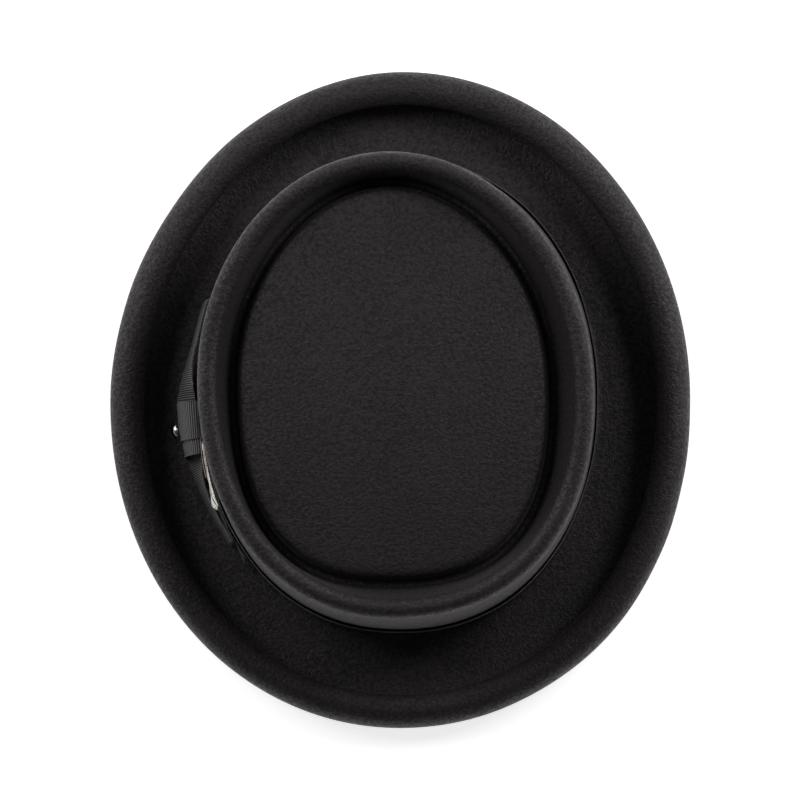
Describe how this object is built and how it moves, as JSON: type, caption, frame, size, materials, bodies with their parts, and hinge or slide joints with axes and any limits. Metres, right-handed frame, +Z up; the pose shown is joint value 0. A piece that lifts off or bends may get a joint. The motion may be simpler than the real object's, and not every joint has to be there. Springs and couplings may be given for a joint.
{
  "type": "porkpie hat",
  "caption": "Low-crowned felt hat with a telescoped flat top, a curled narrow brim, a grosgrain band and a side bow with a stud and feathers.",
  "frame": {"origin": "under the middle of the brim's outline, on the surface that the hat rests on", "axes": "+Z up through the crown; the front of the hat is -Y; the bow is on the wearer's left, +X"},
  "size_m": [0.2596, 0.294, 0.086],
  "materials": {
    "felt": "black wool felt with a short matt nap",
    "grosgrain": "black ribbed ribbon with a faint sheen",
    "stud_metal": "polished, domed",
    "cream_feather": "soft cream-white barbs",
    "brown_feather": "soft brown-grey barbs"
  },
  "bodies": {
    "root": {"felt_body": "felt", "hat_band": "grosgrain", "bow_front_loop": "grosgrain", "bow_back_loop": "grosgrain", "bow_tail": "grosgrain", "bow_knot": "grosgrain", "bow_under_wrap": "grosgrain", "stud": "stud_metal", "feather_cream": "cream_feather", "feather_brown": "brown_feather"}
  },
  "joints": []
}
